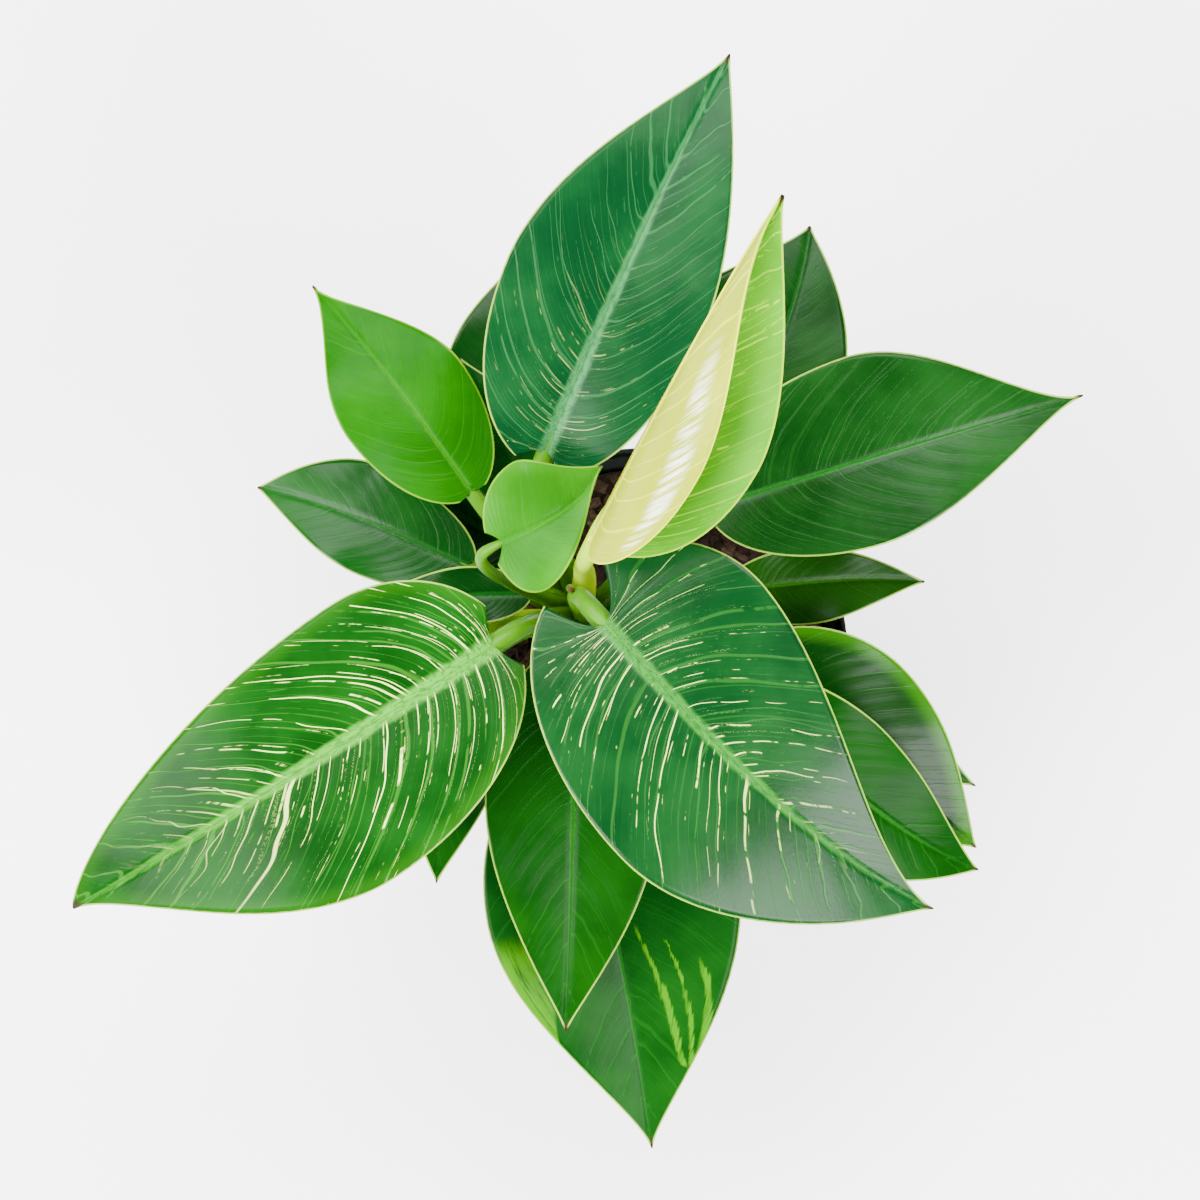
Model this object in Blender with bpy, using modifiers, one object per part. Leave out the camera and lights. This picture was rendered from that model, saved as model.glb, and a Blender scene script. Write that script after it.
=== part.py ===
"""A philodendron birkin in its round nursery pot.

Metres, +Z up. The origin is the middle of the pot's underside, and the pot stands on z = 0.
The plant grew as one body, so its short stem and all its petioles are one solid, which stands in
a plain hole in the soil. Each leaf blade is a thin curved solid of its own, 0.3 mm clear of the
petiole that carries it.
"""
import math
from dataclasses import dataclass

import bmesh
import bpy
import numpy as np
from mathutils import Vector

TOUCH_GAP = 0.0003

# Pot: a tapered wall with a deeper rim band round its mouth
POT_HEIGHT = 0.110
FOOT_RADIUS = 0.0440
RIM_RADIUS = 0.0625
RIM_BAND_HEIGHT = 0.014
RIM_STEP = 0.0022
POT_WALL = 0.0016
POT_FLOOR = 0.0020
LIP_ROUND = 0.0007
POT_SIDES = 48
DRAIN_HOLES = 6
DRAIN_RADIUS = 0.0045
DRAIN_CIRCLE = 0.0290

# Soil: coarse bark mix, level a little below the rim
SOIL_TOP = 0.0985
SOIL_RELIEF = 0.0016
SOIL_RINGS = 9
SOIL_SIDES = 40

# Stem: short and thick, a little off the middle of the pot and leaning the same way
STEM_FOOT = (-0.0135, 0.0095)
STEM_HEAD = (-0.0185, 0.0125)
STEM_BURIED = 0.030
STEM_FOOT_RADIUS = 0.0085
STEM_HEAD_RADIUS = 0.0062
STEM_HEAD_HEIGHT = 0.124
STEM_STEPS = 9
STEM_RING_SWELL = 0.0006

# Blades
BLADE_THICKNESS = 0.0008
LARGE_BLADE = 0.070
LARGE_GRID = (16, 8)
SMALL_GRID = (11, 6)
TIP_SHARE = 0.995
NOTCH_SHARE = 0.012
TAPER_POWER = 1.8
BASE_VEIN_ANGLE = 118.0
TIP_VEIN_ANGLE = 43.0

# Petioles
PETIOLE_STEPS = 9
PETIOLE_TUCK = 0.0035
PETIOLE_CLIMB = 0.45
PETIOLE_BEND = 0.22
SHEATH_TAPER = 1.25


@dataclass
class Leaf:
    """One leaf. Lengths are in metres and angles in degrees; a heading is counted from +X towards +Y."""

    name: str
    joint: tuple  # where the petiole meets the blade
    heading: float  # way the midrib leaves the joint
    length: float  # joint to tip, along the midrib
    left: float  # greatest half width, left of the midrib
    right: float
    rise: float = 8.0  # pitch of the midrib at the joint
    fall: float = -20.0  # pitch at the tip
    hook: float = 0.0  # turn of the heading between joint and tip
    lobe: float = 0.10  # how far the lobes reach back past the joint, as a share of the length
    widest: tuple = (0.38, 0.38)  # where the left and right half are widest, as a share from lobe to tip
    sharp_tip: tuple = (1.2, 1.2)  # large is drawn out to a point
    fold: float = 9.0  # each half rises from the midrib by this angle
    curl: tuple = (-8.0, -8.0)  # and turns by this much on to its margin, left and right
    roll: float = 0.0  # bank of the whole blade, left side up
    wave: float = 0.0012  # height of the ripples at the margin
    ripples: float = 2.0
    foot: float = 0.112  # height at which the petiole leaves the stem
    petiole: float = 0.0023  # radius under the blade
    sheath: float = 0.0036  # radius at the stem
    stand: float = 0.55  # how steeply the petiole starts: 0 goes straight out, 1 straight up
    lap: float = 0.0045  # how far the petiole runs on under the midrib


LEAVES = (
    Leaf("leaf_pinstripe_right", (-0.0110, 0.0100, 0.200), -48, 0.127, 0.0390, 0.0402, 6, -28, 22,
         lobe=0.13, widest=(0.25, 0.46), sharp_tip=(1.55, 1.30), foot=0.123, petiole=0.0030, stand=0.9),
    Leaf("leaf_pinstripe_left", (-0.0420, 0.0040, 0.184), -147, 0.148, 0.0394, 0.0339, 10, -30, -3,
         lobe=0.04, widest=(0.42, 0.24), sharp_tip=(1.60, 0.80), foot=0.121, petiole=0.0031,
         sheath=0.0042, stand=0.75),
    Leaf("leaf_top", (-0.0275, 0.0580, 0.180), 66, 0.123, 0.0308, 0.0267, 24, -14, -3,
         lobe=0.05, widest=(0.41, 0.42), sharp_tip=(1.40, 1.10), foot=0.118, petiole=0.0027),
    Leaf("leaf_youngest_folded", (-0.0140, 0.0325, 0.205), 63, 0.112, 0.0255, 0.0300, 42, 10, -6,
         lobe=0.02, widest=(0.40, 0.42), sharp_tip=(1.20, 1.20), fold=46, curl=(92, 10), roll=46, wave=0.0,
         foot=0.124, petiole=0.0025, sheath=0.0040, stand=0.6, lap=0.0010),
    Leaf("leaf_right", (0.0195, 0.0430, 0.170), 17, 0.111, 0.0291, 0.0243, 16, -18, -1,
         lobe=0.02, widest=(0.45, 0.40), sharp_tip=(1.80, 1.50), foot=0.116),
    Leaf("leaf_upper_left", (-0.0490, 0.0475, 0.160), 125, 0.077, 0.0200, 0.0191, 10, -22, 9,
         lobe=0.02, widest=(0.44, 0.42), sharp_tip=(1.55, 1.70), wave=0.0022, foot=0.113),
    Leaf("leaf_mid_left", (-0.0510, 0.0265, 0.138), 155, 0.069, 0.0157, 0.0167, 4, -22, 14,
         lobe=0.03, widest=(0.44, 0.55), sharp_tip=(1.10, 1.20), foot=0.106),
    Leaf("leaf_small_heart", (-0.0395, 0.0325, 0.188), 23, 0.036, 0.0188, 0.0172, 14, -10, 45,
         lobe=0.10, widest=(0.44, 0.24), sharp_tip=(1.05, 2.50), fold=16, curl=(-14, -14), wave=0.0008,
         foot=0.120, petiole=0.0017, sheath=0.0028, stand=0.8),
    Leaf("leaf_lower_front", (-0.0195, -0.0065, 0.152), -91, 0.107, 0.0258, 0.0255, 0, -22, -2,
         foot=0.113, stand=0.8),
    Leaf("leaf_lime_patched", (-0.0175, -0.0360, 0.126), -78, 0.120, 0.0395, 0.0370, -4, -20, -5,
         sharp_tip=(1.40, 1.40), foot=0.104, stand=0.35),
    Leaf("leaf_lower_left", (-0.0490, 0.0000, 0.138), -103, 0.076, 0.0150, 0.0150, -8, -34, 8,
         lobe=0.08, foot=0.110, petiole=0.0036, sheath=0.0050, stand=0.5),
    Leaf("leaf_right_small", (0.0295, 0.0200, 0.142), 6, 0.055, 0.0102, 0.0124, 2, -20, -12,
         foot=0.109, petiole=0.0019),
    Leaf("leaf_lower_right_outer", (0.0335, -0.0050, 0.150), -38, 0.087, 0.0277, 0.0220, 0, -28, -1,
         foot=0.111),
    Leaf("leaf_lower_right_inner", (0.0335, -0.0145, 0.165), -43, 0.086, 0.0192, 0.0240, 0, -34, 21,
         foot=0.115),
    Leaf("leaf_lower_right_hidden", (0.0310, 0.0010, 0.124), -31, 0.084, 0.0150, 0.0150, -2, -22, 3,
         lobe=0.08, foot=0.103, petiole=0.0019),
    Leaf("leaf_behind_top_right", (0.0268, 0.0628, 0.150), 65, 0.066, 0.0340, 0.0219, 14, -10, 18,
         lobe=0.06, foot=0.108),
    Leaf("leaf_behind_top_left", (-0.0410, 0.0630, 0.134), 88, 0.054, 0.0180, 0.0170, 8, -14, -6,
         lobe=0.06, foot=0.105, petiole=0.0019),
    Leaf("leaf_inner_low", (-0.0370, 0.0310, 0.122), 147, 0.044, 0.0140, 0.0130, 4, -10, 0,
         lobe=0.06, foot=0.103, petiole=0.0018, stand=0.35),
    Leaf("leaf_inner_mid", (-0.0310, 0.0450, 0.146), 118, 0.048, 0.0140, 0.0120, 8, -12, 0,
         lobe=0.06, foot=0.108, petiole=0.0018, stand=0.6),
    Leaf("leaf_inner_left", (-0.0335, 0.0185, 0.145), 182, 0.047, 0.0085, 0.0085, 8, -22, -2,
         lobe=0.03, foot=0.115, petiole=0.0018, stand=0.55),
)


def principled(name, colour, roughness, metallic=0.0):
    material = bpy.data.materials.new(name)
    material.use_nodes = True
    shader = material.node_tree.nodes["Principled BSDF"]
    shader.inputs["Base Color"].default_value = (*colour, 1.0)
    shader.inputs["Roughness"].default_value = roughness
    shader.inputs["Metallic"].default_value = metallic
    material.diffuse_color = (*colour, 1.0)
    return material


def new_object(name, mesh, collection, material=None):
    made = bpy.data.objects.new(name, mesh)
    collection.objects.link(made)
    if material is not None:
        mesh.materials.clear()
        mesh.materials.append(material)
    return made


def applied(source, name, collection, material):
    """The evaluated mesh of an object as a new object, with the caps of its ends welded."""
    bpy.context.view_layer.update()
    graph = bpy.context.evaluated_depsgraph_get()
    mesh = bpy.data.meshes.new_from_object(source.evaluated_get(graph))
    mesh.name = name
    bm = bmesh.new()
    bm.from_mesh(mesh)
    bmesh.ops.remove_doubles(bm, verts=bm.verts, dist=1e-5)
    bmesh.ops.recalc_face_normals(bm, faces=bm.faces)
    bm.to_mesh(mesh)
    bm.free()
    made = new_object(name, mesh, collection, material)
    made.matrix_world = source.matrix_world.copy()
    bpy.data.objects.remove(source)
    return made


def turned(name, profile, sides, collection, material):
    """A closed profile of (radius, height) points, turned once round Z."""
    mesh = bpy.data.meshes.new(name)
    count = len(profile)
    edges = [(i, i + 1) for i in range(count - 1)]
    mesh.from_pydata([(radius, 0.0, height) for radius, height in profile], edges, [])
    made = new_object(name, mesh, collection, material)
    screw = made.modifiers.new("turn", "SCREW")
    screw.steps = screw.render_steps = sides
    screw.use_merge_vertices = True
    screw.merge_threshold = 0.0001
    return made


def cut(target, cutter):
    cutter.hide_render = True
    cutter.display_type = "WIRE"
    boolean = target.modifiers.new(cutter.name, "BOOLEAN")
    boolean.operation = "DIFFERENCE"
    boolean.object = cutter


def cylinder(name, radius, bottom, top, centre, sides, collection):
    mesh = bpy.data.meshes.new(name)
    bm = bmesh.new()
    bmesh.ops.create_cone(bm, cap_ends=True, segments=sides, radius1=radius, radius2=radius,
                          depth=top - bottom)
    bm.to_mesh(mesh)
    bm.free()
    made = new_object(name, mesh, collection)
    made.location = (centre[0], centre[1], (bottom + top) / 2)
    return made


def wall_radius(height):
    """Outside of the tapered wall."""
    top = RIM_RADIUS - RIM_STEP
    return FOOT_RADIUS + (top - FOOT_RADIUS) * height / POT_HEIGHT


def pot_profile():
    """From the middle of the underside, out, up the outside, over the lip and down the inside."""
    band_foot = POT_HEIGHT - RIM_BAND_HEIGHT
    outside = [
        (0.0, 0.0),
        (FOOT_RADIUS - LIP_ROUND, 0.0),
        (wall_radius(LIP_ROUND), LIP_ROUND),
        (wall_radius(band_foot), band_foot),
        (RIM_RADIUS - LIP_ROUND, band_foot + LIP_ROUND),
        (RIM_RADIUS, band_foot + 2 * LIP_ROUND),
        (RIM_RADIUS, POT_HEIGHT - LIP_ROUND),
        (RIM_RADIUS - LIP_ROUND, POT_HEIGHT),
    ]
    inside_rim = RIM_RADIUS - POT_WALL
    inside = [
        (inside_rim + LIP_ROUND / 2, POT_HEIGHT),
        (inside_rim, POT_HEIGHT - LIP_ROUND),
        (inside_rim, band_foot + 2 * LIP_ROUND),
        (wall_radius(band_foot) - POT_WALL, band_foot),
        (wall_radius(POT_FLOOR) - POT_WALL, POT_FLOOR),
        (0.0, POT_FLOOR),
    ]
    return (outside + inside)[::-1]


def make_pot(parts, cutters, material):
    pot = turned("pot", pot_profile(), POT_SIDES, parts, material)
    for index in range(DRAIN_HOLES):
        turn = math.tau * index / DRAIN_HOLES
        place = (DRAIN_CIRCLE * math.cos(turn), DRAIN_CIRCLE * math.sin(turn))
        drill = cylinder(f"drain_{index}", DRAIN_RADIUS, -0.005, POT_FLOOR + 0.005, place, 16, cutters)
        cut(pot, drill)
    pot.data.shade_smooth()
    return pot


def soil_height(x, y):
    """Relief of the coarse bark: a few crossed ripples of unlike lengths."""
    ripples = (
        math.sin(410 * x + 190 * y) * math.cos(230 * x - 370 * y)
        + 0.6 * math.sin(760 * x - 520 * y + 1.3)
        + 0.5 * math.cos(930 * y + 340 * x + 0.4)
    )
    return SOIL_RELIEF * ripples / 2.1


def make_soil(parts, cutters, material):
    clear = POT_WALL + TOUCH_GAP
    floor = POT_FLOOR + TOUCH_GAP
    band_foot = POT_HEIGHT - RIM_BAND_HEIGHT
    edge = wall_radius(band_foot) - clear
    profile = [(0.0, floor), (wall_radius(floor) - clear, floor), (edge, band_foot - TOUCH_GAP),
               (edge, SOIL_TOP)]
    profile += [(edge * (SOIL_RINGS - ring) / SOIL_RINGS, SOIL_TOP) for ring in range(1, SOIL_RINGS + 1)]
    blank = turned("soil_blank", profile[::-1], SOIL_SIDES, parts, material)
    soil = applied(blank, "soil", parts, material)
    for vertex in soil.data.vertices:
        x, y, z = vertex.co
        if z > SOIL_TOP - 1e-5 and math.hypot(x, y) < edge - 1e-4:
            vertex.co.z = z + soil_height(x, y)
    hole = cylinder("stem_hole", STEM_FOOT_RADIUS + TOUCH_GAP, SOIL_TOP - STEM_BURIED - TOUCH_GAP,
                    SOIL_TOP + 0.02, STEM_FOOT, 24, cutters)
    cut(soil, hole)
    return soil


def half_width(share, widest, sharp_tip):
    """Blade outline: a quarter ellipse from the lobe to the widest place, then a taper to the tip."""
    to_widest = np.clip(1 - share / widest, 0, 1)
    past_widest = np.clip((share - widest) / (1 - widest), 0, 1)
    return np.sqrt(1 - to_widest**2) * (1 - past_widest**TAPER_POWER) ** sharp_tip


def midrib(leaf):
    """Arc lengths, places, left directions and upward normals along the midrib, lobes to tip."""
    count = 81
    arc = np.linspace(-leaf.lobe * leaf.length, leaf.length, count)
    share = np.clip(arc / leaf.length, 0, 1)
    pitch = np.radians(leaf.rise + (leaf.fall - leaf.rise) * share)
    heading = np.radians(leaf.heading + leaf.hook * share**2)
    level = np.cos(pitch)
    forward = np.stack([level * np.cos(heading), level * np.sin(heading), np.sin(pitch)], -1)
    step = arc[1] - arc[0]
    place = np.concatenate([np.zeros((1, 3)), np.cumsum((forward[1:] + forward[:-1]) / 2 * step, axis=0)])
    at_joint = [np.interp(0, arc, place[:, axis]) for axis in range(3)]
    place = place - at_joint + np.array(leaf.joint)
    left = np.stack([-np.sin(heading), np.cos(heading), np.zeros(count)], -1)
    return arc, place, left, np.cross(forward, left)


def blade_points(leaf, along, across):
    """Points of the blade's middle surface. along is 0 at the lobes and 1 at the tip; across runs
    from -1 at the left margin over 0 on the midrib to 1 at the right margin. Each line of one
    along is a side vein: it leaves the midrib at the vein angle and bends on towards the tip."""
    on_left = across < 0
    widest = np.where(on_left, *leaf.widest)
    sharp = np.where(on_left, *leaf.sharp_tip)
    reach = np.where(on_left, leaf.left, leaf.right)
    back = leaf.lobe * leaf.length
    share = NOTCH_SHARE + (TIP_SHARE - NOTCH_SHARE) * along**1.35
    margin_x = -back + (leaf.length + back) * share
    margin_y = reach * half_width(share, widest, sharp)
    rib_x = leaf.length * TIP_SHARE * along**1.15
    angle = np.radians(BASE_VEIN_ANGLE + (TIP_VEIN_ANGLE - BASE_VEIN_ANGLE) * along)
    bend_x = rib_x + 0.5 * margin_y / np.tan(angle)
    bend_x = np.minimum(bend_x, rib_x + 0.6 * (np.abs(margin_x - rib_x) + 0.3 * margin_y))
    t = np.abs(across)
    x = (1 - t) ** 2 * rib_x + 2 * t * (1 - t) * bend_x + t**2 * margin_x
    y = t * (1 - t) * margin_y + t**2 * margin_y

    arc, place, left, normal = midrib(leaf)
    here, side, up = (
        np.stack([np.interp(x, arc, table[:, axis]) for axis in range(3)], -1)
        for table in (place, left, normal)
    )
    out = y / reach
    turn = np.radians(np.where(on_left, *leaf.curl)) * out
    slope = np.radians(leaf.fold) + turn / 2
    chord = y * np.sinc(turn / 2 / np.pi)
    offset = np.where(on_left, 1.0, -1.0) * chord * np.cos(slope)
    lift = chord * np.sin(slope)
    phase = np.where(on_left, 0.0, 2.0)
    lift += leaf.wave * out**2 * np.sin(math.tau * leaf.ripples * x / leaf.length + phase)
    roll = math.radians(leaf.roll)
    offset, lift = (offset * math.cos(roll) - lift * math.sin(roll),
                    offset * math.sin(roll) + lift * math.cos(roll))
    return here + side * offset[..., None] + up * lift[..., None]


def make_blade(leaf, parts, material):
    """A flat grid moved on to the blade's surface, split into triangles and given its thickness."""
    bm = bmesh.new()
    rows, columns = LARGE_GRID if leaf.length > LARGE_BLADE else SMALL_GRID
    bmesh.ops.create_grid(bm, x_segments=rows, y_segments=columns, size=1.0)
    flat = np.array([vertex.co[:2] for vertex in bm.verts])
    curved = blade_points(leaf, (flat[:, 0] + 1) / 2, flat[:, 1])
    for vertex, point in zip(bm.verts, curved):
        vertex.co = point
    bmesh.ops.triangulate(bm, faces=bm.faces)
    bmesh.ops.recalc_face_normals(bm, faces=bm.faces)
    mesh = bpy.data.meshes.new(leaf.name)
    bm.to_mesh(mesh)
    bm.free()
    mesh.shade_smooth()
    blade = new_object(leaf.name, mesh, parts, material)
    solidify = blade.modifiers.new("thickness", "SOLIDIFY")
    solidify.thickness = BLADE_THICKNESS
    solidify.offset = 0.0
    return blade


def tube(name, points, radii, collection):
    """A tapered round rod through a list of points, with filled ends."""
    curve = bpy.data.curves.new(name, "CURVE")
    curve.dimensions = "3D"
    curve.bevel_depth = 1.0
    curve.bevel_resolution = 2
    curve.use_fill_caps = True
    spline = curve.splines.new("POLY")
    spline.points.add(len(points) - 1)
    for knot, place, radius in zip(spline.points, points, radii):
        knot.co = (*place, 1.0)
        knot.radius = radius
    made = bpy.data.objects.new(name, curve)
    collection.objects.link(made)
    return made


def stem_centre(height):
    share = np.clip((height - SOIL_TOP) / (STEM_HEAD_HEIGHT - SOIL_TOP), 0, 1)
    foot, head = Vector((*STEM_FOOT, 0)), Vector((*STEM_HEAD, 0))
    return foot.lerp(head, float(share)) + Vector((0, 0, height))


def petiole_line(leaf):
    """From inside the stem, up and out, to a short lap under the midrib at the blade's base."""
    arc, place, _, normal = midrib(leaf)

    def at(table, distance):
        return Vector([np.interp(distance, arc, table[:, axis]) for axis in range(3)])

    under = at(normal, 0) * -(BLADE_THICKNESS / 2 + leaf.petiole + TOUCH_GAP)
    end = at(place, leaf.lap) + under
    near = at(place, 0) * 2 - at(place, PETIOLE_TUCK) + under
    start = stem_centre(leaf.foot)
    out = Vector((near.x - start.x, near.y - start.y, 0))
    span = (near - start).length
    climb = out.normalized() * (1 - leaf.stand) + Vector((0, 0, leaf.stand))
    first = start + climb.normalized() * span * PETIOLE_CLIMB
    second = near - (end - near).normalized() * span * PETIOLE_BEND
    points = []
    for step in range(PETIOLE_STEPS):
        t = step / (PETIOLE_STEPS - 1)
        s = 1 - t
        points.append(start * s**3 + first * (3 * s * s * t) + second * (3 * s * t * t) + near * t**3)
    points.append(end)
    radii = [leaf.sheath + (leaf.petiole - leaf.sheath) * min(1.0, SHEATH_TAPER * step / PETIOLE_STEPS)
             for step in range(len(points))]
    return points, radii


def make_stem(parts, material):
    """The stem and every petiole, joined in one solid."""
    rods = bpy.data.collections.new("rods")
    bpy.context.scene.collection.children.link(rods)
    bottom = SOIL_TOP - STEM_BURIED
    points, radii = [Vector((*STEM_FOOT, bottom))], [STEM_FOOT_RADIUS]
    for step in range(STEM_STEPS):
        share = step / (STEM_STEPS - 1)
        height = SOIL_TOP + SOIL_RELIEF * 2 + (STEM_HEAD_HEIGHT - SOIL_TOP - SOIL_RELIEF * 2) * share
        points.append(stem_centre(height) if step else Vector((*STEM_FOOT, height)))
        swell = STEM_RING_SWELL * (step % 2) * (step > 1)
        radii.append(STEM_FOOT_RADIUS + (STEM_HEAD_RADIUS - STEM_FOOT_RADIUS) * share + swell)
    core = applied(tube("stem_core", points, radii, parts), "stem", parts, material)
    for leaf in LEAVES:
        points, radii = petiole_line(leaf)
        applied(tube(f"rod_{leaf.name}", points, radii, rods), f"petiole_{leaf.name}", rods, material)
    union = core.modifiers.new("petioles", "BOOLEAN")
    union.operation = "UNION"
    union.operand_type = "COLLECTION"
    union.collection = rods
    union.solver = "MANIFOLD"
    stem = applied(core, "stem_joined", parts, material)
    stem.name = "stem"
    for rod in list(rods.objects):
        bpy.data.objects.remove(rod)
    bpy.data.collections.remove(rods)
    return stem


def main():
    for old in list(bpy.data.objects):
        bpy.data.objects.remove(old)
    parts = bpy.data.collections.new("philodendron_birkin")
    cutters = bpy.data.collections.new("cutters")
    for collection in (parts, cutters):
        bpy.context.scene.collection.children.link(collection)

    make_pot(parts, cutters, principled("pot plastic", (0.030, 0.045, 0.038), 0.45))
    make_soil(parts, cutters, principled("bark soil", (0.085, 0.045, 0.028), 0.95))
    make_stem(parts, principled("petiole green", (0.30, 0.52, 0.02), 0.35))
    greens = {
        "leaf_youngest_folded": (0.50, 0.72, 0.01),
        "leaf_small_heart": (0.12, 0.48, 0.01),
        "leaf_upper_left": (0.07, 0.40, 0.01),
    }
    for leaf in LEAVES:
        colour = greens.get(leaf.name, (0.015, 0.16, 0.03))
        make_blade(leaf, parts, principled(leaf.name, colour, 0.28))


main()
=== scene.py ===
# %% [markdown]
# # A philodendron birkin in its pot, seen from straight above
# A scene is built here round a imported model: a pot, its soil, one stem with its petioles, and
# twenty leaf blades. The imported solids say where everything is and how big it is. This script
# gives each of them a finer surface and a living finish, and never moves them.

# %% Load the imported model
import math
from dataclasses import dataclass

import bmesh
import bpy
import numpy as np
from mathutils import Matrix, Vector


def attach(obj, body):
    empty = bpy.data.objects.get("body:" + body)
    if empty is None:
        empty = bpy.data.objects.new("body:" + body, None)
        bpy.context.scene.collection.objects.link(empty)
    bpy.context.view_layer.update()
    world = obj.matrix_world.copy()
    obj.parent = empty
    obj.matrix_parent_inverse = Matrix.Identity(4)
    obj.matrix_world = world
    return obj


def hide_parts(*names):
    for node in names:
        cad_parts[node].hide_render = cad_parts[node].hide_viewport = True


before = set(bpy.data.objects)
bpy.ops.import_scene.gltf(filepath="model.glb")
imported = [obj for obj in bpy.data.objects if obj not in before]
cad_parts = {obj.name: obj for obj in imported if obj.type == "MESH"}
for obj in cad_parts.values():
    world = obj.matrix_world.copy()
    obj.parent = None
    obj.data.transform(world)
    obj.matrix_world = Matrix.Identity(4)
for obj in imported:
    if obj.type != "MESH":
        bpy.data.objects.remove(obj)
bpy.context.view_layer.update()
print("packed solids:", len(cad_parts))

# %% [markdown]
# ## The camera
# The picture looks straight down. Its scale comes from the pot: a 12.5 cm rim whose circle is
# 207 pixels in radius. Its height above the floor is free, and a metre gives the gentle
# perspective of a hand-held camera. The lens then follows from the two, so that nothing is tuned
# by eye. Depth of field stays off.

# %% Camera
CAMERA_HEIGHT = 1.0
CAMERA_X = -0.0124
CAMERA_Y = 0.0166
IMAGE_PIXELS = 1200
SENSOR = 36.0
POT_HEIGHT = 0.110
RIM_RADIUS = 0.0625
RIM_PIXELS = 207
pixels_per_radian = RIM_PIXELS * (CAMERA_HEIGHT - POT_HEIGHT) / RIM_RADIUS

camera_data = bpy.data.cameras.new("camera")
camera_data.sensor_width = SENSOR
camera_data.lens = SENSOR * pixels_per_radian / IMAGE_PIXELS
camera = bpy.data.objects.new("camera", camera_data)
camera.location = (CAMERA_X, CAMERA_Y, CAMERA_HEIGHT)
bpy.context.scene.collection.objects.link(camera)
bpy.context.scene.camera = camera
print("lens, mm:", round(camera_data.lens, 1))

# %% [markdown]
# ## One way to write node trees
# A material or a geometry tree is a web of nodes, and long lists of nodes and links hide what is
# worked out. Here one small class holds a socket. Adding, multiplying or comparing two of them
# adds the Math node that does it, so a pattern reads as a formula. The same class serves both
# kinds of tree, because both know the Math node.

# %% Expressions on sockets


class Term:
    """One output socket of a node tree, used in a formula."""

    def __init__(self, tree, socket=None):
        self.tree = tree
        self.socket = socket

    def node(self, kind, settings=None, inputs=None, output=0):
        made = self.tree.nodes.new(kind)
        for name, value in (settings or {}).items():
            if name == "stops":
                ramp = made.color_ramp
                while len(ramp.elements) < len(value):
                    ramp.elements.new(1.0)
                for element, (place, colour) in zip(ramp.elements, value):
                    element.position = place
                    element.color = (*colour, 1.0)
            else:
                setattr(made, name, value)
        for name, value in (inputs or {}).items():
            if isinstance(value, Term):
                self.tree.links.new(value.socket, made.inputs[name])
            else:
                made.inputs[name].default_value = value
        return Term(self.tree, made.outputs[output])

    def math(self, operation, *others, clamp=False):
        return self.node("ShaderNodeMath", {"operation": operation, "use_clamp": clamp},
                         dict(enumerate((self, *others))))

    def __add__(self, other):
        return self.math("ADD", other)

    __radd__ = __add__

    def __sub__(self, other):
        return self.math("SUBTRACT", other)

    def __rsub__(self, other):
        return self.node("ShaderNodeMath", {"operation": "SUBTRACT"}, {0: other, 1: self})

    def __mul__(self, other):
        return self.math("MULTIPLY", other)

    __rmul__ = __mul__

    def __truediv__(self, other):
        return self.math("DIVIDE", other)

    def __pow__(self, other):
        return self.math("POWER", other)

    def __gt__(self, other):
        return self.math("GREATER_THAN", other)

    def __abs__(self):
        return self.math("ABSOLUTE")

    def ramp(self, low, high, to_low=0.0, to_high=1.0):
        """0 below low and 1 above high, with a smooth step between."""
        return self.node("ShaderNodeMapRange", {"interpolation_type": "SMOOTHSTEP"},
                         {"Value": self, "From Min": low, "From Max": high,
                          "To Min": to_low, "To Max": to_high})

    def mix_value(self, off, on):
        """off where this is 0 and on where it is 1."""
        return (1 - self) * off + self * on

    def mix(self, colour_off, colour_on):
        """A colour that is colour_off where this is 0 and colour_on where it is 1."""
        off, on = ((*colour, 1.0) if isinstance(colour, tuple) else colour
                   for colour in (colour_off, colour_on))
        return self.node("ShaderNodeMix", {"data_type": "RGBA"}, {0: self, 6: off, 7: on}, output=2)


def vector(x, y, z=0.0):
    """Three numbers or terms as one vector."""
    first = next(part for part in (x, y, z) if isinstance(part, Term))
    return first.node("ShaderNodeCombineXYZ", inputs={0: x, 1: y, 2: z})


def noise(place, scale, detail=2.0, roughness=0.5):
    return place.node("ShaderNodeTexNoise", inputs={"Vector": place, "Scale": scale, "Detail": detail,
                                                    "Roughness": roughness})


def chance(place):
    """One random number from 0 to 1 for each place, the same every time."""
    return place.node("ShaderNodeTexWhiteNoise", {"noise_dimensions": "3D"}, {"Vector": place})


# %% [markdown]
# ## Materials from a recipe
# Each finish is one Principled surface. A helper starts it with the values that are the same all
# over, and hands back what the formulas need: the tree, and the object's own coordinates. What
# varies over the surface is linked afterwards.

# %% Material helper


def new_surface(name, roughness=0.4, **fixed):
    """A material with one Principled surface. Returns the material, its shader and a first term."""
    material = bpy.data.materials.new(name)
    material.use_nodes = True
    shader = material.node_tree.nodes["Principled BSDF"]
    shader.inputs["Roughness"].default_value = roughness
    for socket, value in fixed.items():
        shader.inputs[socket.replace("_", " ")].default_value = value
    start = Term(material.node_tree)
    return material, shader, start


def object_place(start):
    return start.node("ShaderNodeTexCoord", output="Object")


def attribute(start, name):
    return start.node("ShaderNodeAttribute", {"attribute_name": name}, output="Fac")


def feed(shader, socket, term):
    term.tree.links.new(term.socket, shader.inputs[socket])


def bump(shader, height, distance, strength=1.0):
    normal = height.node("ShaderNodeBump", inputs={"Height": height, "Distance": distance,
                                                   "Strength": strength})
    feed(shader, "Normal", normal)


# %% [markdown]
# ## Geometry trees
# A geometry tree is built once and used on many objects. Its sizes are named inputs. After it has
# run, the result is kept as a plain mesh, which is what an export can carry.

# %% Geometry tree helpers


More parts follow.
